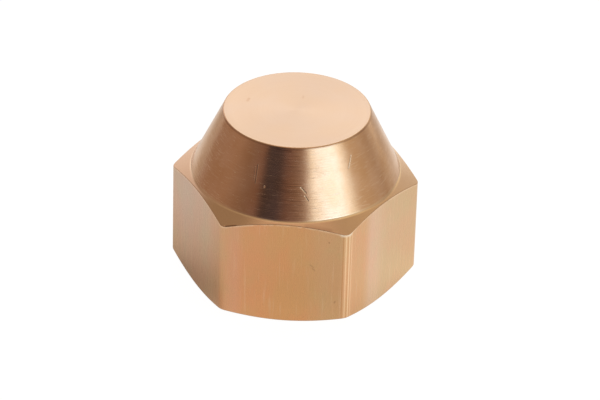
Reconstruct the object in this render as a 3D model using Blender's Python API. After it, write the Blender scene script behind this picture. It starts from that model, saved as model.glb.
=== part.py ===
"""Flare cap nut: a hexagonal brass cap with a blind 5/8-18 thread and a conical crown, and the loose copper
bonnet that seals it against a 45 degree flare fitting.

The origin is the centre of the mouth face, with +Z along the axis towards the closed crown. Lengths are in
metres.
"""

import math

import bmesh
import bpy
from mathutils import Matrix, Vector

MM = 0.001

# The hexagon bar, and the outside that is turned from it
ACROSS_FLATS = 22.0 * MM
CORNER_RADIUS = 0.8 * MM
OVERALL_HEIGHT = 18.6 * MM
CONE_HEIGHT = 6.8 * MM
CONE_TOP_DIAMETER = 15.0 * MM
SHOULDER_LEDGE = 0.3 * MM  # from a flat in to the foot of the cone
MOUTH_LEDGE = 0.45 * MM  # from a flat in to the edge of the mouth face
CHAMFER_ANGLE = math.radians(25)  # of both ends of the hexagon, from a plane across the axis
SHOULDER_FILLET = 0.4 * MM
CROWN_EDGE_RADIUS = 0.2 * MM

# The thread and the cavity behind it
THREAD_MAJOR_DIAMETER = 15.875 * MM
THREAD_PITCH = 25.4 * MM / 18
COUNTERSINK_MARGIN = 0.4 * MM  # the countersink is this much wider than the thread, on the radius
RELIEF_DEPTH = 0.3 * MM  # the relief groove is cut this far past the thread, on the radius
RELIEF_WIDTH = 1.8 * MM
SEAT_END_DIAMETER = 7.2 * MM
SEAT_ANGLE = math.radians(45)  # from the axis, as on the flare that it meets
DRILL_POINT_ANGLE = math.radians(118)
CROWN_WALL = 2.1 * MM  # metal left above the point of the drilled hole

# The sealing bonnet
BONNET_WALL = 0.8 * MM
BONNET_CLEARANCE = 0.3 * MM  # to the seat and to the end of the thread
RIM_OVERLAP = 0.18 * MM  # the rim stands this far out past the thread's crests, so that it can't drop out

# Finishes: both metals are bare
BRASS_COLOUR = (0.78, 0.49, 0.27)
BRASS_ROUGHNESS = 0.3
COPPER_COLOUR = (0.75, 0.33, 0.2)
COPPER_ROUGHNESS = 0.35
SHARP_ANGLE = math.radians(30)

# Fineness of the meshes, and how far cutters run past what they cut
OUTSIDE_STEPS = 96
INSIDE_STEPS = 48
FILLET_STEPS = 4
OVERRUN = 1.0 * MM
TOOTH_OVERRUN = 0.1 * MM
WELD = 0.001 * MM

# Sizes that follow from those above
FLAT_RADIUS = ACROSS_FLATS / 2
HALF_CORNER_TURN = math.radians(30)  # half the turn from one flat of a hexagon to the next
CORNER_REACH = FLAT_RADIUS / math.cos(HALF_CORNER_TURN)
CONE_FOOT_HEIGHT = OVERALL_HEIGHT - CONE_HEIGHT
CONE_FOOT_RADIUS = FLAT_RADIUS - SHOULDER_LEDGE
CONE_TOP_RADIUS = CONE_TOP_DIAMETER / 2
MOUTH_RADIUS = FLAT_RADIUS - MOUTH_LEDGE
THREAD_FLANK = math.radians(30)
ROOT_FLAT = THREAD_PITCH / 8
CREST_FLAT = THREAD_PITCH / 4
THREAD_DEPTH = (THREAD_PITCH - ROOT_FLAT - CREST_FLAT) / 2 / math.tan(THREAD_FLANK)
MAJOR_RADIUS = THREAD_MAJOR_DIAMETER / 2
MINOR_RADIUS = MAJOR_RADIUS - THREAD_DEPTH
RELIEF_RADIUS = MAJOR_RADIUS + RELIEF_DEPTH
COUNTERSINK_RADIUS = MAJOR_RADIUS + COUNTERSINK_MARGIN
SEAT_END_RADIUS = SEAT_END_DIAMETER / 2
DRILL_TIP_HEIGHT = OVERALL_HEIGHT - CROWN_WALL
SEAT_END_HEIGHT = DRILL_TIP_HEIGHT - SEAT_END_RADIUS / math.tan(DRILL_POINT_ANGLE / 2)
SEAT_START_HEIGHT = SEAT_END_HEIGHT - (MINOR_RADIUS - SEAT_END_RADIUS) / math.tan(SEAT_ANGLE)
THREAD_END_HEIGHT = SEAT_START_HEIGHT - RELIEF_WIDTH


def clear_scene():
    for scene_object in list(bpy.data.objects):
        bpy.data.objects.remove(scene_object)


def bare_metal(name, colour, roughness):
    metal = bpy.data.materials.new(name)
    metal.use_nodes = True
    shader = metal.node_tree.nodes["Principled BSDF"]
    shader.inputs["Base Color"].default_value = (*colour, 1)
    shader.inputs["Roughness"].default_value = roughness
    shader.inputs["Metallic"].default_value = 1
    return metal


def object_from(name, shape):
    """An object of this name in the scene, made from a bmesh, which is then freed."""
    bmesh.ops.recalc_face_normals(shape, faces=shape.faces)
    mesh = bpy.data.meshes.new(name)
    shape.to_mesh(mesh)
    shape.free()
    made = bpy.data.objects.new(name, mesh)
    bpy.context.scene.collection.objects.link(made)
    return made


def rounded(before, corner, after, radius):
    """The points of the arc that rounds off one corner of a profile."""
    to_before = (Vector(before) - Vector(corner)).normalized()
    to_after = (Vector(after) - Vector(corner)).normalized()
    half_angle = to_before.angle(to_after) / 2
    reach = radius / math.tan(half_angle)
    centre = Vector(corner) + (to_before + to_after).normalized() * radius / math.sin(half_angle)
    start = Vector(corner) + to_before * reach - centre
    end = Vector(corner) + to_after * reach - centre
    shares = [k / FILLET_STEPS for k in range(FILLET_STEPS + 1)]
    return [centre + start.lerp(end, share).normalized() * radius for share in shares]


def turned(name, profile, steps):
    """A solid of revolution about Z, from (radius, height) points that start and end on the axis."""
    shape = bmesh.new()
    points = [shape.verts.new((radius, 0, height)) for radius, height in profile]
    edges = [shape.edges.new(ends) for ends in zip(points, points[1:])]
    bmesh.ops.spin(
        shape,
        geom=points + edges,
        cent=(0, 0, 0),
        axis=(0, 0, 1),
        angle=2 * math.pi,
        steps=steps,
        use_merge=True,
    )
    bmesh.ops.remove_doubles(shape, verts=shape.verts, dist=WELD)
    return object_from(name, shape)


def hexagon_bar(name):
    """Drawn bar with rounded edges, longer than the cap at both ends, with two flats facing -Y and +Y."""
    length = OVERALL_HEIGHT + 2 * OVERRUN
    place = Matrix.Translation((0, 0, OVERALL_HEIGHT / 2)) @ Matrix.Rotation(HALF_CORNER_TURN, 4, "Z")
    shape = bmesh.new()
    bmesh.ops.create_cone(
        shape,
        cap_ends=True,
        segments=6,
        radius1=CORNER_REACH,
        radius2=CORNER_REACH,
        depth=length,
        matrix=place,
    )
    uprights = [edge for edge in shape.edges if abs(edge.verts[0].co.z - edge.verts[1].co.z) > OVERRUN]
    bmesh.ops.bevel(
        shape,
        geom=uprights,
        offset=CORNER_RADIUS * math.tan(HALF_CORNER_TURN),
        segments=FILLET_STEPS,
        profile=0.5,
        affect="EDGES",
    )
    return object_from(name, shape)


def turned_envelope():
    """What the lathe leaves of the bar: mouth face, a chamfer at each end of the flats, cone and crown."""
    outer_radius = CORNER_REACH + OVERRUN
    mouth_edge = (MOUTH_RADIUS, 0)
    lower_chamfer_end = (outer_radius, (outer_radius - MOUTH_RADIUS) * math.tan(CHAMFER_ANGLE))
    shoulder_rise = (outer_radius - CONE_FOOT_RADIUS) * math.tan(CHAMFER_ANGLE)
    upper_chamfer_start = (outer_radius, CONE_FOOT_HEIGHT - shoulder_rise)
    cone_foot = (CONE_FOOT_RADIUS, CONE_FOOT_HEIGHT)
    crown_edge = (CONE_TOP_RADIUS, OVERALL_HEIGHT)
    crown_centre = (0, OVERALL_HEIGHT)
    profile = [
        (0, 0),
        mouth_edge,
        lower_chamfer_end,
        upper_chamfer_start,
        *rounded(upper_chamfer_start, cone_foot, crown_edge, SHOULDER_FILLET),
        *rounded(cone_foot, crown_edge, crown_centre, CROWN_EDGE_RADIUS),
        crown_centre,
    ]
    return turned("turned_envelope", profile, OUTSIDE_STEPS)


def cavity_cutter():
    """The blind hole before tapping: right-angled countersink, bore, relief groove, seat and drill point."""
    countersink_depth = COUNTERSINK_RADIUS - MINOR_RADIUS
    profile = [
        (0, -OVERRUN),
        (COUNTERSINK_RADIUS + OVERRUN, -OVERRUN),
        (MINOR_RADIUS, countersink_depth),
        (MINOR_RADIUS, THREAD_END_HEIGHT),
        (RELIEF_RADIUS, THREAD_END_HEIGHT),
        (RELIEF_RADIUS, SEAT_START_HEIGHT),
        (MINOR_RADIUS, SEAT_START_HEIGHT),
        (SEAT_END_RADIUS, SEAT_END_HEIGHT),
        (0, DRILL_TIP_HEIGHT),
    ]
    return turned("cavity_cutter", profile, INSIDE_STEPS)


def thread_cutter():
    """The right-hand thread's groove: one tooth's outline swept from below the mouth into the relief."""
    inner_radius = MINOR_RADIUS - TOOTH_OVERRUN
    root_half = ROOT_FLAT / 2
    inner_half = root_half + (MAJOR_RADIUS - inner_radius) * math.tan(THREAD_FLANK)
    last_height = THREAD_END_HEIGHT + RELIEF_WIDTH / 2
    turns = math.ceil((last_height + OVERRUN) / THREAD_PITCH)
    first_height = last_height - turns * THREAD_PITCH
    outline = [
        (inner_radius, 0, first_height - inner_half),
        (MAJOR_RADIUS, 0, first_height - root_half),
        (MAJOR_RADIUS, 0, first_height + root_half),
        (inner_radius, 0, first_height + inner_half),
    ]
    half_step = Matrix.Rotation(math.pi / INSIDE_STEPS, 3, "Z")
    shape = bmesh.new()
    tooth = shape.faces.new([shape.verts.new(half_step @ Vector(point)) for point in outline])
    bmesh.ops.spin(
        shape,
        geom=[*tooth.verts, *tooth.edges, tooth],
        cent=(0, 0, 0),
        axis=(0, 0, 1),
        dvec=(0, 0, THREAD_PITCH / INSIDE_STEPS),
        angle=2 * math.pi * turns,
        steps=INSIDE_STEPS * turns,
    )
    return object_from("thread_cutter", shape)


def cut(solid, tool, operation):
    """Adds a Boolean of the solid with a tool, which is then only a guide."""
    boolean = solid.modifiers.new(tool.name, "BOOLEAN")
    boolean.operation = operation
    boolean.solver = "EXACT"
    boolean.object = tool
    tool.hide_render = True
    tool.display_type = "WIRE"
    tool.parent = solid


def cap_nut():
    """The one-piece brass body: hexagon bar, turned outside, then bored and tapped from the mouth."""
    body = hexagon_bar("cap_nut")
    cut(body, turned_envelope(), "INTERSECT")
    cut(body, cavity_cutter(), "DIFFERENCE")
    cut(body, thread_cutter(), "DIFFERENCE")
    body.data.materials.append(bare_metal("brass", BRASS_COLOUR, BRASS_ROUGHNESS))
    return body


def seal_bonnet(carrier):
    """The loose copper cup that lies between the seat and the flare, its rim held in the relief groove."""
    gap = BONNET_CLEARANCE / math.cos(SEAT_ANGLE)
    wall = BONNET_WALL / math.cos(SEAT_ANGLE)

    def height_at(radius, inset):
        """Height of a cone that lies inside the seat by this inset, measured along the radius."""
        return SEAT_START_HEIGHT + (MINOR_RADIUS - inset - radius) / math.tan(SEAT_ANGLE)

    def radius_at(height, inset):
        return MINOR_RADIUS - inset - (height - SEAT_START_HEIGHT) * math.tan(SEAT_ANGLE)

    rim_radius = MINOR_RADIUS + RIM_OVERLAP
    rim_height = THREAD_END_HEIGHT + BONNET_CLEARANCE
    nose_outside = SEAT_END_HEIGHT - BONNET_CLEARANCE
    nose_inside = nose_outside - BONNET_WALL
    profile = [
        (0, nose_inside),
        (radius_at(nose_inside, gap + wall), nose_inside),
        (radius_at(rim_height, gap + wall), rim_height),
        (rim_radius, rim_height),
        (rim_radius, height_at(rim_radius, gap)),
        (radius_at(nose_outside, gap), nose_outside),
        (0, nose_outside),
    ]
    bonnet = turned("seal_bonnet", profile, INSIDE_STEPS)
    bonnet.data.materials.append(bare_metal("copper", COPPER_COLOUR, COPPER_ROUGHNESS))
    bonnet.parent = carrier
    return bonnet


def shade(solid):
    """Smooth round surfaces with crisp edges between them."""
    solid.data.shade_smooth()
    solid.data.set_sharp_from_angle(angle=SHARP_ANGLE)


clear_scene()
cap = cap_nut()
shade(cap)
shade(seal_bonnet(cap))
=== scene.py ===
import math

import bpy
import numpy as np
from mathutils import Matrix


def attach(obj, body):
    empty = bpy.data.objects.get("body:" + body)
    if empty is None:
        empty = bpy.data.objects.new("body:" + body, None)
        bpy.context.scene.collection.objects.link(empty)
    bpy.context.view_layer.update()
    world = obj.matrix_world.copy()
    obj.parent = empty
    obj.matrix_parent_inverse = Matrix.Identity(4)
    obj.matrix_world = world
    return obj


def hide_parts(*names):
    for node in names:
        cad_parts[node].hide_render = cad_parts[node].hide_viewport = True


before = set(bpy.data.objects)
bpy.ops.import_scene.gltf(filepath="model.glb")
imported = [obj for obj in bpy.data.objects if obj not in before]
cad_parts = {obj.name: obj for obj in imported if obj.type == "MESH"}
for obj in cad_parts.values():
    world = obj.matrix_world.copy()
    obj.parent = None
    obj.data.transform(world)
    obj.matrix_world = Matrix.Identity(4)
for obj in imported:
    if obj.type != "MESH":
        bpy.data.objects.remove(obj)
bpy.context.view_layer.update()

# Cap nut: the one-piece body of the cap, cut from drawn hexagon brass bar. The lathe turns the cone,
# faces the crown and chamfers both ends of the hexagon; the blind hole is then bored, grooved and tapped
# from the mouth. Sizes are in millimetres, and MM turns them into metres.
MM = 0.001
FLAT_RADIUS = 11.0
CORNER_RADIUS = 0.88
OVERALL_HEIGHT = 18.6
CROWN_RADIUS = 7.5
CONE_FOOT_RADIUS = 10.7
CONE_HEIGHT = 6.8
CONE_FOOT_HEIGHT = OVERALL_HEIGHT - CONE_HEIGHT
MOUTH_RADIUS = 10.55
CHAMFER_SLOPE = math.tan(math.radians(25))
FLANK_SLOPE = math.tan(math.radians(30))
THREAD_PITCH = 25.4 / 18
THREAD_FLANK = THREAD_PITCH * 5 / 16
THREAD_START_TURN = math.radians(3.75)
TURNS_BELOW_GROOVE = 9
MAJOR_RADIUS = 15.875 / 2
MINOR_RADIUS = MAJOR_RADIUS - THREAD_FLANK / FLANK_SLOPE
COUNTERSINK_RADIUS = MAJOR_RADIUS + 0.4
PLAIN_COUNTERSINK = 0.35
RELIEF_RADIUS = MAJOR_RADIUS + 0.3
RELIEF_WIDTH = 1.8
SEAT_END_RADIUS = 3.6
DRILL_TIP_HEIGHT = 16.5
SEAT_END_HEIGHT = DRILL_TIP_HEIGHT - SEAT_END_RADIUS / math.tan(math.radians(59))
SEAT_START_HEIGHT = SEAT_END_HEIGHT - (MINOR_RADIUS - SEAT_END_RADIUS)
THREAD_END_HEIGHT = SEAT_START_HEIGHT - RELIEF_WIDTH
# Edge radii: crown, foot of the cone, hexagon's top and bottom, mouth face and countersink; then, inside,
# the two corners of the groove, the start of the seat and the drill point.
OUTSIDE_EDGES = [0.15, 0.4, 0.06, 0.12, 0.12, 0.06]
INSIDE_EDGES = [0.15, 0.15, 0.06, 0.2]
CORNER_STEPS = 8
FLAT_STEPS = 36
EDGE_STEPS = 6
INSIDE_EDGE_STEPS = 4
ROW_SPACING = 1.0
ROW_MARGIN = 0.06
GRID_PER_MM = 1e5
SHARP_ANGLE = math.radians(35)
FACED, TURNED, DRAWN, TAPPED = range(4)


def hexagon_columns(arc_steps, flat_steps):
    """The angle of each column round the axis, over one closed turn, and the hexagon's reach there.

    A corner is an arc about a point on the diagonal. Along a flat, the reach is the flat's radius divided by
    the cosine of the angle from the middle of that flat.
    """
    sixth = math.radians(60)
    arc_centre = (FLAT_RADIUS - CORNER_RADIUS) / math.cos(sixth / 2)
    swing = np.linspace(-sixth / 2, sixth / 2, arc_steps + 1)
    across = arc_centre + CORNER_RADIUS * np.cos(swing)
    along = CORNER_RADIUS * np.sin(swing)
    arc_turn = np.arctan2(along, across)
    flat_turn = np.linspace(arc_turn[-1], sixth + arc_turn[0], flat_steps + 1)[1:-1]
    turn = np.concatenate([arc_turn, flat_turn])
    reach = np.concatenate([np.hypot(across, along), FLAT_RADIUS / np.cos(sixth / 2 - flat_turn)])
    turns = (sixth * np.arange(6)[:, None] + turn).ravel()
    return np.append(turns, turns[0] + 2 * math.pi), np.append(np.tile(reach, 6), reach[0])


def rings(columns, *corners):
    """Corners of a meridian, as radius and height, with one column for each angle."""
    flat = [np.broadcast_to(value, columns.shape) for corner in corners for value in corner]
    return np.stack(flat).reshape(len(corners), 2, -1).swapaxes(1, 2)


def rounded_rows(corners, radii, steps):
    """Rows of points along straight runs whose inner corners are rounded.

    Each arc touches its two runs at radius * tan(turn / 2) from the corner, about a centre on the
    bisector. Its spokes are (sin((1 - s) turn) first + sin(s turn) last) / sin(turn), with s from 0 to 1.
    """
    middle = corners[1:-1]
    before = corners[:-2] - middle
    after = corners[2:] - middle
    before = before / np.linalg.norm(before, axis=-1, keepdims=True)
    after = after / np.linalg.norm(after, axis=-1, keepdims=True)
    turn = math.pi - np.arccos((before * after).sum(-1, keepdims=True))
    radius = np.reshape(radii, (-1, 1, 1))
    touch = radius * np.tan(turn / 2)
    bisector = (before + after) / np.linalg.norm(before + after, axis=-1, keepdims=True)
    centre = middle + bisector * np.hypot(radius, touch)
    first = (middle + before * touch - centre)[:, None]
    last = (middle + after * touch - centre)[:, None]
    turn = turn[:, None]
    share = np.linspace(0, 1, steps + 1).reshape(1, -1, 1, 1)
    spokes = (np.sin((1 - share) * turn) * first + np.sin(share * turn) * last) / np.sin(turn)
    arcs = centre[:, None] + spokes
    return np.concatenate([corners[:1], arcs.reshape(-1, *corners.shape[1:]), corners[-1:]])


def run_finishes(runs, arcs, steps):
    """The finish of each gap between rows: a run, then an arc of this many steps, then the next run."""
    later = [[arc] * steps + [run] for arc, run in zip(arcs, runs[1:])]
    return np.concatenate([[runs[0]], *later]).astype(int)


def with_rows_between(rows, finishes, longest, margin):
    """Rows added along straight runs, a margin from each end and no further apart than longest."""
    filled = []
    gaps = []
    for start, end, finish in zip(rows[:-1], rows[1:], finishes):
        length = np.linalg.norm(end - start, axis=-1).max()
        shares = np.linspace(0, 1, math.ceil(length / longest) + 1)
        if length > 4 * margin:
            shares = np.unique(np.concatenate([shares, [margin / length, 1 - margin / length]]))
        filled.append(start + (end - start) * shares[:-1, None, None])
        gaps.append(np.full(len(shares) - 1, finish))
    return np.concatenate([*filled, rows[-1:]]), np.concatenate(gaps)


def thread_rows(columns):
    """Rows that climb with the right-hand thread, cut off at the countersink and at the relief groove.

    At each angle the groove's middle is at a height that rises one pitch a turn. The radius is the major
    radius over the root flat, falls along 30 degree flanks to the minor radius, and is nowhere inside the
    countersink.
    """
    root_half = THREAD_PITCH / 16
    shares = np.arange(1, 4) / 4 * THREAD_FLANK
    crest_start = root_half + THREAD_FLANK
    crest_end = THREAD_PITCH - crest_start
    root_and_flank = [[-root_half, root_half], root_half + shares]
    offsets = np.concatenate([*root_and_flank, [crest_start, crest_end], crest_end + shares])
    levels = (THREAD_PITCH * np.arange(-TURNS_BELOW_GROOVE, 1)[:, None] + offsets).ravel()
    climb = THREAD_PITCH * (columns - THREAD_START_TURN) / (2 * math.pi)
    groove = THREAD_END_HEIGHT + RELIEF_WIDTH / 2 + climb
    height = np.clip(groove + levels[:, None], PLAIN_COUNTERSINK, THREAD_END_HEIGHT)
    from_groove = (height - groove + THREAD_PITCH / 2) % THREAD_PITCH - THREAD_PITCH / 2
    radius = MAJOR_RADIUS - (np.abs(from_groove) - root_half) / FLANK_SLOPE
    radius = np.clip(radius, MINOR_RADIUS, MAJOR_RADIUS)
    return np.stack([np.maximum(radius, COUNTERSINK_RADIUS - height), height], -1)


def swept_piece(name, columns, rows, finishes, materials):
    """A closed piece from rows of radius and height, with each column at its own angle.

    The point at radius r, height h and angle a is (r cos a, r sin a, h). Points that fall together are
    joined, which closes the seam, the poles and the ends of the thread, and the faces that this flattens
    become triangles or go.
    """
    radius, height = rows[..., 0], rows[..., 1]
    points = np.stack([radius * np.cos(columns), radius * np.sin(columns), height], -1).reshape(-1, 3)
    index = np.arange(len(points)).reshape(rows.shape[:2])
    quads = np.stack([index[:-1, :-1], index[1:, :-1], index[1:, 1:], index[:-1, 1:]], -1).reshape(-1, 4)
    finish = np.repeat(finishes, len(columns) - 1)
    on_grid = np.rint(points * GRID_PER_MM).astype(np.int64)
    _, kept, joined = np.unique(on_grid, axis=0, return_index=True, return_inverse=True)
    quads = joined.reshape(-1)[quads]
    doubled = quads == np.roll(quads, -1, axis=1)
    folded = (quads[:, 0] == quads[:, 2]) | (quads[:, 1] == quads[:, 3])
    whole = ~folded & (doubled.sum(1) == 0)
    three = ~folded & (doubled.sum(1) == 1)
    triangles = quads[three][~doubled[three]].reshape(-1, 3)
    mesh = bpy.data.meshes.new(name)
    mesh.from_pydata(points[kept] * MM, [], [*quads[whole].tolist(), *triangles.tolist()])
    for material in materials:
        mesh.materials.append(material)
    face_finish = np.concatenate([finish[whole], finish[three]]).astype(np.int32)
    mesh.polygons.foreach_set("material_index", face_finish)
    mesh.shade_smooth()
    mesh.set_sharp_from_angle(angle=SHARP_ANGLE)
    piece = bpy.data.objects.new(name, mesh)
    bpy.context.scene.collection.objects.link(piece)
    return piece


class Paint:
    """A socket in a node tree. Arithmetic on it adds Math nodes, and node() adds any other node."""

    def __init__(self, tree, socket=None):
        self.tree = tree
        self.socket = socket

    def node(self, kind, settings, sockets, out=0):
        """Adds a node with its settings, then a value or a link for each socket, and gives one output."""
        made = self.tree.nodes.new(kind)
        for name, value in settings.items():
            if name == "stops":
                elements = made.color_ramp.elements
                for _ in value[2:]:
                    elements.new(1)
                for element, (place, colour) in zip(elements, value):
                    element.position = place
                    element.color = (*colour, 1)
            else:
                setattr(made, name, value)
        for name, value in sockets.items():
            if isinstance(value, Paint):
                self.tree.links.new(value.socket, made.inputs[name])
            else:
                made.inputs[name].default_value = value
        return Paint(self.tree, made.outputs[out] if len(made.outputs) else None)

    def math(self, operation, *others):
        """One Math operation on this value and others."""
        return self.node("ShaderNodeMath", {"operation": operation}, dict(enumerate((self, *others))))

    def __add__(self, other):
        return self.math("ADD", other)

    __radd__ = __add__

    def __sub__(self, other):
        return self.math("SUBTRACT", other)

    def __rsub__(self, other):
        return self.node("ShaderNodeMath", {"operation": "SUBTRACT"}, {0: other, 1: self})

    def __mul__(self, other):
        return self.math("MULTIPLY", other)

    __rmul__ = __mul__

    def __truediv__(self, other):
        return self.math("DIVIDE", other)

    def rise(self, start, end):
        """0 at start and 1 at end, level beyond both, with a smooth step between. Either may be larger."""
        sockets = {"Value": self, "From Min": start, "From Max": end}
        return self.node("ShaderNodeMapRange", {"interpolation_type": "SMOOTHSTEP"}, sockets)

    def vector(self, operation, other, out=0):
        """One Vector Math operation on these coordinates and others."""
        return self.node("ShaderNodeVectorMath", {"operation": operation}, {0: self, 1: other}, out)

    def sides(self):
        """The x, y and z of these coordinates."""
        apart = self.node("ShaderNodeSeparateXYZ", {}, {0: self}).socket.node
        return [Paint(self.tree, output) for output in apart.outputs]

    def stretched(self, across, along):
        """These coordinates scaled across the axis and along it."""
        return self.vector("MULTIPLY", (across, across, along))

    def scratch(self, start, end, width):
        """1 along the straight line between two points and 0 from half a width off it.

        The nearest point of the line is start + share (end - start). The share is the dot product of
        (here - start) and (end - start) over the length squared, kept between 0 and 1.
        """
        run = end - start
        here = self.vector("SUBTRACT", tuple(start))
        share = here.vector("DOT_PRODUCT", tuple(run / (run @ run)), 1).math("MAXIMUM", 0).math("MINIMUM", 1)
        nearest = share.node("ShaderNodeVectorMath", {"operation": "SCALE"}, {0: tuple(run), "Scale": share})
        return 1 - here.vector("DISTANCE", nearest, 1).rise(0, width / 2)

    def noise(self, detail, roughness=0.5):
        """Soft noise, about one hump for each unit of these coordinates."""
        sockets = {"Vector": self, "Scale": 1, "Detail": detail, "Roughness": roughness}
        return self.node("ShaderNodeTexNoise", {}, sockets)

    def mixed(self, low, high, blend="MIX"):
        """A colour between two, by this value."""
        settings = {"data_type": "RGBA", "blend_type": blend}
        return self.node("ShaderNodeMix", settings, {0: self, 6: low, 7: high}, 2)

    def ramp(self, stops):
        """A colour from stops of place and colour, with this value's place between them."""
        return self.node("ShaderNodeValToRGB", {"stops": stops}, {0: self})


def bare_metal(name):
    """A material that is metal all over, with its shader and the coordinates that its marks follow."""
    material = bpy.data.materials.new(name)
    material.use_nodes = True
    tree = material.node_tree
    shader = tree.nodes["Principled BSDF"]
    shader.inputs["Metallic"].default_value = 1
    place = Paint(tree).node("ShaderNodeTexCoord", {}, {}, "Object")
    return material, shader, place


def finish_with(shader, colour, roughness, height, depth):
    """Feeds a shader its colour, its roughness and the depth of its marks in metres."""
    tree = colour.tree
    bump = colour.node("ShaderNodeBump", {}, {"Strength": 1, "Distance": depth, "Height": height})
    tree.links.new(colour.socket, shader.inputs["Base Color"])
    tree.links.new(roughness.socket, shader.inputs["Roughness"])
    tree.links.new(bump.socket, shader.inputs["Normal"])


def spot(x, y, z):
    """A point on the piece, from millimetres."""
    return np.array((x, y, z)) * MM


def cone_point(degrees, height):
    """A point on the cone at this angle from the middle of the front flat and at this height."""
    radius = CROWN_RADIUS + (OVERALL_HEIGHT - height) * (CONE_FOOT_RADIUS - CROWN_RADIUS) / CONE_HEIGHT
    turn = math.radians(degrees)
    return spot(radius * math.sin(turn), -radius * math.cos(turn), height)


def turned_brass():
    """Lathe marks: rings from noise that is slow round the axis and quick along it, deeper in bunches.

    A fine grain and pale hairs break the rings up; the hairs' pale colour is a painted glint. The shoulder
    is coloured darker than the cone, a painted shade, the fillet between them carries a painted highlight
    line, and a painted dark line of shade lies under the crown's rim. Scratches, a stain, a nick and a
    rubbed place from handling each follow a line between two points.
    """
    material, shader, place = bare_metal("turned_brass")
    dull_brass, clean_brass = (0.85, 0.54, 0.305, 1), (0.925, 0.625, 0.4, 1)
    shaded_shoulder_brass = (0.67, 0.44, 0.27, 1)
    hair_glint_brass = (1, 0.75, 0.52, 1)
    fillet_highlight_brass = (1, 0.8, 0.52, 1)
    scratched_brass = (1, 0.86, 0.64, 1)
    grime_and_rim_shade = (0.28, 0.14, 0.08, 1)
    grain = place.stretched(3000, 9000).noise(2, 0.6)
    lines = place.stretched(150, 8000).noise(3, 0.6)
    bunches = place.stretched(260, 500).noise(2).rise(0.4, 0.62)
    patches = place.stretched(420, 300).noise(2).rise(0.3, 0.7)
    height = place.sides()[2]
    shoulder = height.rise((CONE_FOOT_HEIGHT + 0.05) * MM, (CONE_FOOT_HEIGHT - 0.1) * MM)
    hairs = (1 - shoulder) * place.stretched(900, 10000).noise(2).rise(0.55, 0.68)
    # The fillet at the cone's foot carries a painted highlight line.
    fillet = 1 - (height - (CONE_FOOT_HEIGHT + 0.08) * MM).math("ABSOLUTE").rise(0.05 * MM, 0.17 * MM)
    # The dark line under the crown's rim is painted shade.
    rim = height.rise((OVERALL_HEIGHT - 0.22) * MM, (OVERALL_HEIGHT - 0.12) * MM)
    scratches = 0
    for start, end, width, strength in (
        ((-21.5, 16.56), (-20.6, 14.85), 0.16, 0.7),
        ((-23.1, 16.3), (-22.0, 15.1), 0.12, 0.7),
        ((46.6, 17.05), (42.1, 16.02), 0.2, 1),
        ((8.4, 14.98), (11.3, 14.5), 0.2, 1.3),
        ((10.8, 14.21), (12.6, 13.77), 0.16, 1.1),
        ((-14.6, 14.78), (-14.5, 14.74), 0.28, 1.3),
    ):
        scratches = strength * place.scratch(cone_point(*start), cone_point(*end), width * MM) + scratches
    nick = place.scratch(spot(-5.95, -11, 11.02), spot(-4.95, -11, 11.14), 0.45 * MM)
    rubbed = place.scratch(spot(2.2, -10.95, 11.58), spot(4.5, -10.9, 11.3), 0.9 * MM)
    stain = place.scratch(cone_point(-9.4, 18.3), cone_point(1.0, 18.25), 0.3 * MM)
    # The nick, the stain and the rubbed place are real marks; the rim's dark line is painted shade.
    dirt_and_rim_shade = nick.math("MAXIMUM", 0.5 * stain).math("MAXIMUM", 0.4 * rim).math("MAXIMUM", 0.3 * rubbed)
    colour = patches.mixed(dull_brass, clean_brass)
    # The shoulder's darker colour is a painted shade.
    colour = shoulder.mixed(colour, shaded_shoulder_brass)
    # The hairs' pale colour is a painted glint on the lathe marks.
    colour = (0.45 * hairs).mixed(colour, hair_glint_brass)
    colour = (0.5 * fillet).mixed(colour, fillet_highlight_brass)
    colour = (0.7 * scratches).mixed(colour, scratched_brass)
    colour = dirt_and_rim_shade.mixed(colour, grime_and_rim_shade)
    shader.inputs["Anisotropic"].default_value = 0.5
    shader.inputs["Anisotropic Rotation"].default_value = 0.25
    microns = 2 * grain + (3 + 10 * bunches) * lines - 20 * scratches - 30 * nick
    finish_with(shader, colour, 0.12 + 0.1 * grain + 0.09 * hairs, microns, 1e-6)
    return material


def faced_brass():
    """Facing marks: rings about the axis, from noise that is quick along the radius, and two faint dents."""
    material, shader, place = bare_metal("faced_brass")
    warm_brass, cool_brass = (0.87, 0.63, 0.45, 1), (0.86, 0.635, 0.475, 1)
    dented_brass = (0.7, 0.42, 0.24, 1)
    x, y, _ = place.sides()
    radius = (x * x + y * y).math("SQRT")
    rings_at = x.node("ShaderNodeCombineXYZ", {}, {0: 90 * x, 1: 90 * y, 2: 9000 * radius})
    fine = rings_at.noise(3, 0.6)
    patches = place.stretched(260, 260).noise(2).rise(0.3, 0.75)
    left_dent = place.scratch(spot(-5.15, 1.0, 18.6), spot(-5.05, 1.5, 18.6), 0.5 * MM)
    back_dent = place.scratch(spot(0.36, 2.3, 18.6), spot(0.4, 2.7, 18.6), 0.4 * MM)
    dents = left_dent + 0.6 * back_dent
    colour = (0.5 * dents).mixed(patches.mixed(warm_brass, cool_brass), dented_brass)
    shader.inputs["Anisotropic"].default_value = 0.3
    shader.inputs["Anisotropic Rotation"].default_value = 0.25
    finish_with(shader, colour, 0.38 + 0.12 * fine, fine - 3 * dents, 4e-7)
    return material


def bearing(degrees):
    """The share of a turn, counted from the back, at these degrees: the front is 0, the right is 90."""
    return (degrees + 180) / 360


def round_stops(*stops):
    """Ramp stops from degrees round the axis."""
    return [(bearing(degrees), colour) for degrees, colour in stops]


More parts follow.
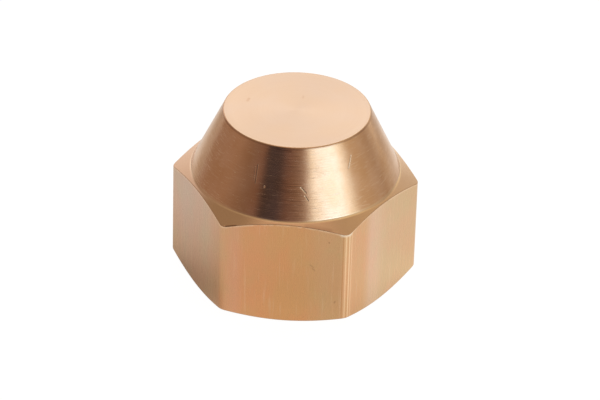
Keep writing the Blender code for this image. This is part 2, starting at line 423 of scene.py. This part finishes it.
def drawn_brass():
    """Die marks: noise that is quick across the axis and drawn out along it, over each flat's tarnish and
    painted light and shade.

    The front right corner has fine pale and dark lines of painted highlight and shade. A pale line of
    painted highlight runs along the top edge, which lies at the shoulder's height for the distance from the
    axis, and a painted highlight lies on that corner's top. Handling has left a few pits on the front flat,
    each along a line between two points. Each flat's colour round the axis is partly tarnish and partly
    painted light and shade, tuned to the photo in this file's studio, and the flats turn warmer towards the
    foot with a painted bounce light.
    """
    material, shader, place = bare_metal("drawn_brass")
    streak_and_bounce_tint = (1, 0.97, 0.92, 1)
    pink_tint, olive_tint = (1.03, 0.975, 0.985, 1), (0.975, 1.02, 1, 1)
    score_and_highlight_brass = (0.97, 0.7, 0.47, 1)
    corner_highlight_brass = (1, 0.86, 0.68, 1)
    pitted_brass = (0.45, 0.24, 0.12, 1)
    x, y, height = place.sides()
    fine = place.stretched(6500, 160).noise(3, 0.6)
    streaks = place.stretched(1500, 70).noise(3, 0.6)
    scores = place.stretched(4200, 220).noise(2).rise(0.58, 0.72)
    blotches = place.stretched(300, 190).noise(3, 0.6).rise(0.35, 0.65)
    turn = x.math("ARCTAN2", -1 * y)
    # Colour round the axis: partly tarnish, partly painted light and shade on each flat and the front right
    # corner.
    colour = (turn / (2 * math.pi) + 0.5).ramp(
        round_stops(
            (-180, (0.82, 0.49, 0.245)),
            (-120, (0.8, 0.51, 0.29)),
            (-75, (0.705, 0.515, 0.395)),
            (-45, (0.705, 0.505, 0.35)),
            (-32, (0.75, 0.455, 0.27)),
            (-28, (0.79, 0.465, 0.26)),
            (-24, (0.805, 0.45, 0.26)),
            (-20, (0.81, 0.435, 0.215)),
            (0, (0.8, 0.425, 0.195)),
            (10, (0.78, 0.43, 0.2)),
            (20, (0.73, 0.465, 0.24)),
            (27.6, (0.71, 0.455, 0.235)),
            (29.2, (0.81, 0.505, 0.275)),
            (32.8, (0.81, 0.505, 0.275)),
            (34.2, (0.765, 0.455, 0.24)),
            (43, (0.765, 0.455, 0.24)),
            (49, (0.8, 0.545, 0.37)),
            (55, (0.8, 0.55, 0.365)),
            (62, (0.75, 0.522, 0.315)),
            (80, (0.735, 0.512, 0.3)),
            (120, (0.81, 0.51, 0.28)),
            (180, (0.82, 0.49, 0.245)),
        )
    )
    # Painted highlight and shade: pale and dark lines across the front right corner's rounding.
    for degrees, half_width, painted_line_colour in (
        (28.3, 0.4, (0.66, 0.37, 0.17, 1)),
        (29.6, 0.5, (0.98, 0.7, 0.43, 1)),
        (30.6, 0.4, (0.72, 0.42, 0.22, 1)),
        (31.4, 0.5, (1, 0.74, 0.47, 1)),
        (32.2, 0.4, (0.74, 0.43, 0.22, 1)),
        (32.9, 0.4, (0.95, 0.65, 0.4, 1)),
    ):
        off_line = (turn - math.radians(degrees)).math("ABSOLUTE")
        colour = off_line.rise(math.radians(half_width), 0).mixed(colour, painted_line_colour)
    # Streaks, and a painted warm bounce light that grows towards the foot.
    streaks_and_foot_bounce = 0.3 * streaks.rise(0.3, 0.7) + 0.65 * height.rise(9 * MM, 0)
    colour = streaks_and_foot_bounce.mixed(colour, streak_and_bounce_tint, "MULTIPLY")
    colour = (1 - blotches).mixed(colour, pink_tint, "MULTIPLY")
    colour = blotches.mixed(colour, olive_tint, "MULTIPLY")
    reach = (x * x + y * y).math("SQRT")
    edge_at_axis = (CONE_FOOT_HEIGHT + CONE_FOOT_RADIUS * CHAMFER_SLOPE) * MM
    below_edge = edge_at_axis - CHAMFER_SLOPE * reach - height
    # A pale line along the top edge is a painted highlight; the die's scores share its colour.
    edge_highlight = 0.6 * streaks.rise(0.3, 0.6) * below_edge.rise(0.3 * MM, 0.08 * MM)
    colour = edge_highlight.math("MAXIMUM", 0.17 * scores).mixed(colour, score_and_highlight_brass)
    pits = 0
    for (start_x, start_z), (end_x, end_z), width in (
        ((2.62, 7.15), (2.98, 6.86), 0.16),
        ((2.86, 6.74), (3.12, 6.5), 0.16),
        ((4.47, 9.98), (4.5, 9.9), 0.26),
        ((5.26, 2.95), (5.2, 2.8), 0.24),
    ):
        start, end = spot(start_x, -FLAT_RADIUS, start_z), spot(end_x, -FLAT_RADIUS, end_z)
        pits = place.scratch(start, end, width * MM) + pits
    colour = (0.7 * pits).mixed(colour, pitted_brass)
    # A painted highlight on the top of the front right corner.
    corner_top_highlight = place.scratch(spot(5.8, -11, 10.97), spot(6.75, -10.6, 10.93), 0.8 * MM)
    colour = corner_top_highlight.mixed(colour, corner_highlight_brass)
    shader.inputs["Anisotropic"].default_value = 0.4
    finish_with(shader, colour, 0.25 + 0.05 * fine, 0.12 * fine + 0.3 * streaks, 5e-7)
    return material


def tapped_brass():
    """Tool marks inside the hole, with a film of cutting oil that dulls the brass unevenly."""
    material, shader, place = bare_metal("tapped_brass")
    oily_brass, clean_brass = (0.7, 0.38, 0.17, 1), (0.83, 0.49, 0.25, 1)
    fine = place.stretched(500, 9000).noise(3, 0.6)
    film = place.stretched(600, 600).noise(3).rise(0.35, 0.7)
    finish_with(shader, film.mixed(oily_brass, clean_brass), 0.22 + 0.16 * fine, fine, 1e-6)
    return material


columns, hexagon = hexagon_columns(CORNER_STEPS, FLAT_STEPS)
outside = rings(
    columns,
    (0, OVERALL_HEIGHT),
    (CROWN_RADIUS, OVERALL_HEIGHT),
    (CONE_FOOT_RADIUS, CONE_FOOT_HEIGHT),
    (hexagon, CONE_FOOT_HEIGHT - (hexagon - CONE_FOOT_RADIUS) * CHAMFER_SLOPE),
    (hexagon, (hexagon - MOUTH_RADIUS) * CHAMFER_SLOPE),
    (MOUTH_RADIUS, 0),
    (COUNTERSINK_RADIUS, 0),
    (COUNTERSINK_RADIUS - PLAIN_COUNTERSINK, PLAIN_COUNTERSINK),
)
outside_rows, outside_finishes = with_rows_between(
    rounded_rows(outside, OUTSIDE_EDGES, EDGE_STEPS),
    run_finishes([FACED, TURNED, TURNED, DRAWN, TURNED, FACED, TAPPED], [TURNED] * 6, EDGE_STEPS),
    ROW_SPACING,
    ROW_MARGIN,
)
thread = thread_rows(columns)
inside = rings(
    columns,
    (thread[-1, :, 0], THREAD_END_HEIGHT),
    (RELIEF_RADIUS, THREAD_END_HEIGHT),
    (RELIEF_RADIUS, SEAT_START_HEIGHT),
    (MINOR_RADIUS, SEAT_START_HEIGHT),
    (SEAT_END_RADIUS, SEAT_END_HEIGHT),
    (0, DRILL_TIP_HEIGHT),
)
inside_rows, inside_finishes = with_rows_between(
    rounded_rows(inside, INSIDE_EDGES, INSIDE_EDGE_STEPS),
    run_finishes([TAPPED] * 5, [TAPPED] * 4, INSIDE_EDGE_STEPS),
    ROW_SPACING,
    ROW_MARGIN,
)
cap_rows = np.concatenate([outside_rows, thread, inside_rows])
tapped_gaps = np.full(len(thread) + 1, TAPPED)
cap_finishes = np.concatenate([outside_finishes, tapped_gaps, inside_finishes])
cap_materials = [faced_brass(), turned_brass(), drawn_brass(), tapped_brass()]
cap = swept_piece("cap_body", columns, cap_rows, cap_finishes, cap_materials)
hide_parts("cap_nut")
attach(cap, "cap")

# Seal bonnet: the loose cup that lies between the seat and the flare of the pipe fitting. It is pressed
# from thin soft copper, and its rim sits in the relief groove, wider than the thread, so that it can't
# drop out.
BONNET_CLEARANCE = 0.3
BONNET_WALL = 0.8
BONNET_INSET = BONNET_CLEARANCE + BONNET_WALL
RIM_RADIUS = MINOR_RADIUS + 0.18
RIM_HEIGHT = THREAD_END_HEIGHT + BONNET_CLEARANCE
NOSE_OUTSIDE = SEAT_END_HEIGHT - BONNET_CLEARANCE
NOSE_INSIDE = NOSE_OUTSIDE - BONNET_WALL
# Edge radii: nose outside, shoulder of the rim, the rim's two lower edges, nose inside.
BONNET_EDGES = [0.5, 0.3, 0.09, 0.09, 0.3]
BONNET_ROW_SPACING = 0.6


def pressed_copper():
    """Faint spinning rings and patches of brown oxide on soft copper."""
    material, shader, place = bare_metal("pressed_copper")
    bright_copper, brown_copper = (0.8, 0.37, 0.22, 1), (0.6, 0.23, 0.13, 1)
    fine = place.stretched(300, 7000).noise(3, 0.6)
    oxide = place.stretched(520, 520).noise(4, 0.6)
    colour = oxide.rise(0.35, 0.7).mixed(bright_copper, brown_copper)
    finish_with(shader, colour, 0.28 + 0.2 * oxide, fine, 8e-7)
    return material


def seat_radius(height, inset):
    """Radius at a height on a cone that lies inside the 45 degree seat by this inset."""
    return MINOR_RADIUS - inset * math.sqrt(2) - (height - SEAT_START_HEIGHT)


rim_top = SEAT_START_HEIGHT + MINOR_RADIUS - BONNET_CLEARANCE * math.sqrt(2) - RIM_RADIUS
cup = rings(
    columns,
    (0, NOSE_OUTSIDE),
    (seat_radius(NOSE_OUTSIDE, BONNET_CLEARANCE), NOSE_OUTSIDE),
    (RIM_RADIUS, rim_top),
    (RIM_RADIUS, RIM_HEIGHT),
    (seat_radius(RIM_HEIGHT, BONNET_INSET), RIM_HEIGHT),
    (seat_radius(NOSE_INSIDE, BONNET_INSET), NOSE_INSIDE),
    (0, NOSE_INSIDE),
)
cup_rows, cup_finishes = with_rows_between(
    rounded_rows(cup, BONNET_EDGES, EDGE_STEPS),
    run_finishes([0] * 6, [0] * 5, EDGE_STEPS),
    BONNET_ROW_SPACING,
    ROW_MARGIN,
)
bonnet = swept_piece("bonnet_cup", columns, cup_rows, cup_finishes, [pressed_copper()])
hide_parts("seal_bonnet")
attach(bonnet, "bonnet")

# Studio: a white table top, and soft light from a pale wall behind, a softbox at the right and a dim room
# in front. The table has a hole under the mouth, so that the inside is lit when it is seen from below. The
# camera stands far off with a long lens, at the photo's angle.
WHITE = (1, 1, 1, 1)
TABLE_RINGS = [10.3, 12, 15, 25, 50, 105]
TABLE_SEGMENTS = 96
TABLE_DROP = 0.02
scene = bpy.context.scene
scene.view_settings.view_transform = "Standard"


def table_paper():
    """White paper that is seen white. The metal mirrors it with the cap's shade at the left foot.

    Its own light goes by the kind of ray. Mirrored, the pool beside the softbox and the foot of the cap are
    brighter, and past a few widths of the cap the table fades into the room. From below it is clear.
    """
    material = bpy.data.materials.new("white_table")
    material.use_nodes = True
    tree = material.node_tree
    tree.nodes.clear()
    start = Paint(tree)
    seen = start.node("ShaderNodeLightPath", {}, {}, "Is Camera Ray")
    rays = seen.socket.node.outputs
    mirrored = Paint(tree, rays["Is Glossy Ray"]) + Paint(tree, rays["Is Transmission Ray"])
    under = start.node("ShaderNodeNewGeometry", {}, {}, "Backfacing")
    across, along, _ = start.node("ShaderNodeTexCoord", {}, {}, "Object").sides()
    reach = (across * across + along * along).math("SQRT")
    pool = across.rise(4 * MM, 15 * MM) * reach.rise(55 * MM, 25 * MM)
    shade = across.rise(-5 * MM, -11 * MM) * reach.rise(27 * MM, 11 * MM)
    foot = (1 - shade) * reach.rise(19 * MM, 12 * MM)
    tone = shade.mixed(WHITE, (0.74, 0.62, 0.47, 1))
    tone = (shade * reach.rise(17 * MM, 11 * MM)).mixed(tone, (0.5, 0.42, 0.33, 1))
    far = across.rise(-40 * MM, 40 * MM).mixed((0.33, 0.25, 0.23, 1), (0.52, 0.46, 0.45, 1))
    tone = reach.rise(35 * MM, 75 * MM).mixed(tone, far)
    tone = seen.mixed(tone, WHITE)
    glow = 0.85 + 0.4 * reach.rise(90 * MM, 45 * MM) + 0.45 * pool + 0.2 * foot
    white = start.node("ShaderNodeEmission", {}, {"Color": tone, "Strength": 1.14 * seen + glow * mirrored})
    paper = start.node("ShaderNodeBsdfDiffuse", {}, {"Color": (0.8, 0.8, 0.8, 1)})
    lit = start.node("ShaderNodeMixShader", {}, {0: 0.85 * seen + 0.35 * mirrored, 1: paper, 2: white})
    clear = start.node("ShaderNodeBsdfTransparent", {}, {})
    surface = start.node("ShaderNodeMixShader", {}, {0: under, 1: lit, 2: clear})
    start.node("ShaderNodeOutputMaterial", {}, {"Surface": surface})
    return material


def table_top():
    """A flat ring from under the mouth face out to the table's round edge, just clear of the cap."""
    turn = np.linspace(0, 2 * math.pi, TABLE_SEGMENTS + 1)[:-1]
    radius = np.array(TABLE_RINGS)[:, None] * MM
    level_rings = np.full((len(TABLE_RINGS), TABLE_SEGMENTS), -TABLE_DROP * MM)
    points = np.stack([radius * np.cos(turn), radius * np.sin(turn), level_rings], -1).reshape(-1, 3)
    index = np.arange(len(points)).reshape(len(TABLE_RINGS), TABLE_SEGMENTS)
    after = np.roll(index, -1, axis=1)
    quads = np.stack([index[:-1], index[1:], after[1:], after[:-1]], -1).reshape(-1, 4)
    mesh = bpy.data.meshes.new("table_top")
    mesh.from_pydata(points, [], quads.tolist())
    mesh.materials.append(table_paper())
    table = bpy.data.objects.new("table_top", mesh)
    scene.collection.objects.link(table)
    return table


def level(degrees):
    """The height on the unit sphere of a direction that climbs by these degrees."""
    return math.sin(math.radians(degrees))


table_top()

# The walls' colours began as an estimate, from the photo's pixels, of the light that the cone mirrors in
# each direction. Most were then changed by comparing renders with the photo.
PALE_WALL = (1.18, 1.19, 1.18)
LEFT_CEILING, RIGHT_CEILING = (0.42, 0.325, 0.235, 1), (0.76, 0.64, 0.47, 1)
OVERHEAD = (0.82, 0.64, 0.5, 1)
FLOOR_BELOW = (0.5, 0.44, 0.4, 1)
SOFTBOX_EDGE, SOFTBOX_CORE = (1.2, 1.3, 1.35, 1), (1.45, 1.78, 2.25, 1)
world = bpy.data.worlds.new("studio")
scene.world = world
world.use_nodes = True
world.node_tree.nodes.clear()
sky = Paint(world.node_tree)
across, along, up = sky.node("ShaderNodeTexCoord", {}, {}, "Generated").sides()
round_share = across.math("ARCTAN2", -1 * along) / (2 * math.pi) + 0.5
walls = round_share.ramp(
    round_stops(
        (-180, PALE_WALL),
        (-155, (1.08, 1.02, 1.04)),
        (-140, (0.9, 0.82, 0.85)),
        (-122, (0.34, 0.24, 0.2)),
        (-78, (0.325, 0.215, 0.16)),
        (-52, (0.22, 0.145, 0.115)),
        (-38, (0.2, 0.12, 0.1)),
        (-30, (0.11, 0.085, 0.095)),
        (-16, (0.105, 0.08, 0.095)),
        (-4, (0.235, 0.145, 0.13)),
        (11, (0.34, 0.245, 0.21)),
        (20, (0.48, 0.41, 0.39)),
        (80, (0.6, 0.52, 0.44)),
        (92, (0.53, 0.44, 0.355)),
        (116, (0.41, 0.33, 0.275)),
        (128, (0.5, 0.42, 0.35)),
        (140, (0.78, 0.67, 0.54)),
        (154, (0.8, 0.74, 0.66)),
        (168, (1.14, 1.14, 1.14)),
        (180, PALE_WALL),
    )
)
doorway = round_share.ramp(
    round_stops(
        (-180, (1, 1, 1)),
        (-40, (1, 1, 1)),
        (-32, (0.25, 0.25, 0.25)),
        (8, (0.36, 0.33, 0.33)),
        (22, (1, 1, 1)),
        (180, (1, 1, 1)),
    )
)
room = up.rise(level(23), level(13)).mixed(walls, doorway, "MULTIPLY")
softbox_width = round_share.rise(bearing(17), bearing(28)) * round_share.rise(bearing(82), bearing(63))
softbox_height = up.rise(level(2), level(8)) * up.rise(level(24), level(19))
softbox_core = round_share.rise(bearing(23), bearing(41)) * round_share.rise(bearing(69), bearing(55))
softbox = softbox_core.mixed(SOFTBOX_EDGE, SOFTBOX_CORE)
room = (softbox_width * softbox_height).mixed(room, softbox)
ceiling = across.rise(0.05, 0.5).mixed(LEFT_CEILING, RIGHT_CEILING)
ceiling = up.rise(level(66), level(80)).mixed(ceiling, OVERHEAD)
room = up.rise(level(33), level(52)).mixed(room, ceiling)
room = up.rise(level(-15), level(-60)).mixed(room, FLOOR_BELOW)
behind = along.rise(0.26, 0.45) * across.math("ABSOLUTE").rise(0.3, 0.15) * up.rise(level(-25), level(-10))
room = behind.mixed(room, (*PALE_WALL, 1))
seen = sky.node("ShaderNodeLightPath", {}, {}, "Is Camera Ray")
background = sky.node("ShaderNodeBackground", {}, {"Color": seen.mixed(room, WHITE), "Strength": 1})
sky.node("ShaderNodeOutputWorld", {}, {"Surface": background})

PHOTO_WIDTH = 600
FOCAL_LENGTH_IN_PIXELS = 3647.1
SENSOR_WIDTH = 36
AZIMUTH, ELEVATION, ROLL = np.radians((4.5235, 32.1662, -1.6555))
SIDEWAYS, LIFTED, AWAY = 0.0470, -0.1192, 34
camera_data = bpy.data.cameras.new("camera")
camera_data.sensor_fit = "HORIZONTAL"
camera_data.sensor_width = SENSOR_WIDTH
camera_data.lens = FOCAL_LENGTH_IN_PIXELS / PHOTO_WIDTH * SENSOR_WIDTH
camera_data.clip_start = 0.01
camera_data.clip_end = 20
camera = bpy.data.objects.new("camera", camera_data)
scene.collection.objects.link(camera)
scene.camera = camera
right = np.array((math.cos(AZIMUTH), math.sin(AZIMUTH), 0))
upward = np.array((-math.sin(AZIMUTH), math.cos(AZIMUTH), 0)) * math.sin(ELEVATION)
upward[2] = math.cos(ELEVATION)
back = np.cross(right, upward)
turned_right = math.cos(ROLL) * right - math.sin(ROLL) * upward
turned_up = math.sin(ROLL) * right + math.cos(ROLL) * upward
middle = np.array((0, 0, OVERALL_HEIGHT / 2))
stand = middle + FLAT_RADIUS * (SIDEWAYS * turned_right + LIFTED * turned_up + AWAY * back)
axes = Matrix(np.stack([turned_right, turned_up, back], 1).tolist()).to_4x4()
camera.matrix_world = Matrix.Translation((stand * MM).tolist()) @ axes
